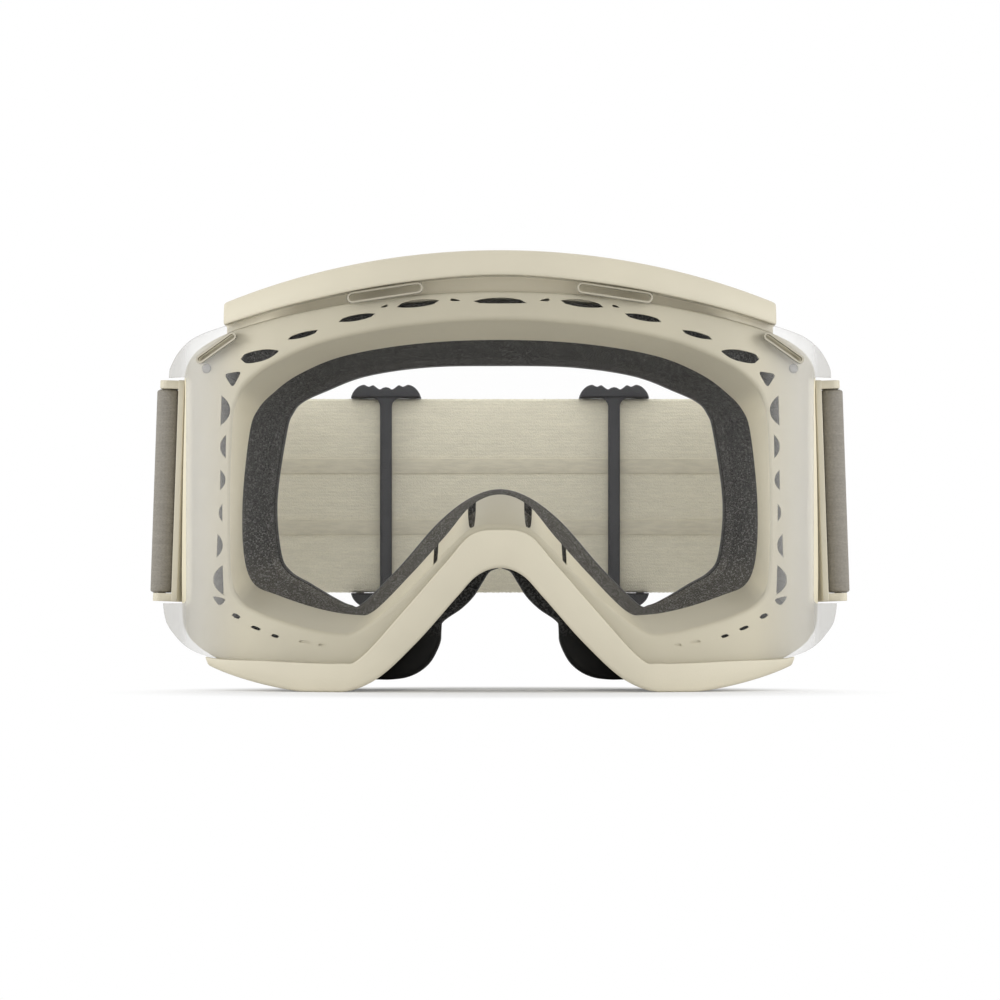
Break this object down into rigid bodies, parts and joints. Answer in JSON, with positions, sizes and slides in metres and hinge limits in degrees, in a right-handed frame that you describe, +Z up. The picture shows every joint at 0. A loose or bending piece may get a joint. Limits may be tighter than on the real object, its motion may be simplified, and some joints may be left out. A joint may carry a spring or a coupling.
{
  "type": "mountain bike goggles",
  "caption": "Bike goggles with a vented flexible mask frame, clear snap-in cylindrical lens, layered face foam and a head strap with sliding adjusters.",
  "frame": {"origin": "centre of the bounding box's bottom face, on the ground", "axes": "+Z up, -Y the way the wearer looks, +X the wearer's left"},
  "size_m": [0.1734, 0.1166, 0.1057],
  "materials": {
    "frame": "satin moulded",
    "foam": "open-cell foam",
    "fleece": "brushed fleece",
    "nose_rubber": "matte",
    "webbing": "woven",
    "grip": "smooth silicone",
    "adjuster": "satin moulded",
    "lens": "clear",
    "slot_rim": "satin moulded"
  },
  "bodies": {
    "mask": {"frame_shell": "frame", "brow_bar": "frame", "lower_rim": "frame", "vent_foam_top": "foam", "vent_foam_left": "foam", "vent_foam_right": "foam", "vent_foam_lower_left": "foam", "vent_foam_lower_right": "foam", "vent_foam_nose": "foam", "face_foam_base": "foam", "face_foam_middle": "foam", "face_fleece": "fleece", "nose_flap_left": "nose_rubber", "nose_flap_right": "nose_rubber", "left_outrigger": "frame", "right_outrigger": "frame", "head_strap": "webbing", "grip_strip_upper": "grip", "grip_strip_lower": "grip"},
    "lens": {"lens": "lens", "lens_slot_rims": "slot_rim", "lens_pegs": "lens"},
    "left_adjuster": {"left_adjuster": "adjuster", "left_strap_end": "webbing"},
    "right_adjuster": {"right_adjuster": "adjuster", "right_strap_end": "webbing"}
  },
  "joints": [
    {"name": "lens_pull", "type": "slide", "parent": "mask", "child": "lens", "axis": [0, -1, 0], "range_m": [0, 0.03]},
    {"name": "left_adjuster_slide", "type": "slide", "parent": "mask", "child": "left_adjuster", "axis": [1, 0, 0], "range_m": [-0.018, 0.0115]},
    {"name": "right_adjuster_slide", "type": "slide", "parent": "mask", "child": "right_adjuster", "axis": [-1, 0, 0], "range_m": [-0.018, 0.0115]}
  ]
}
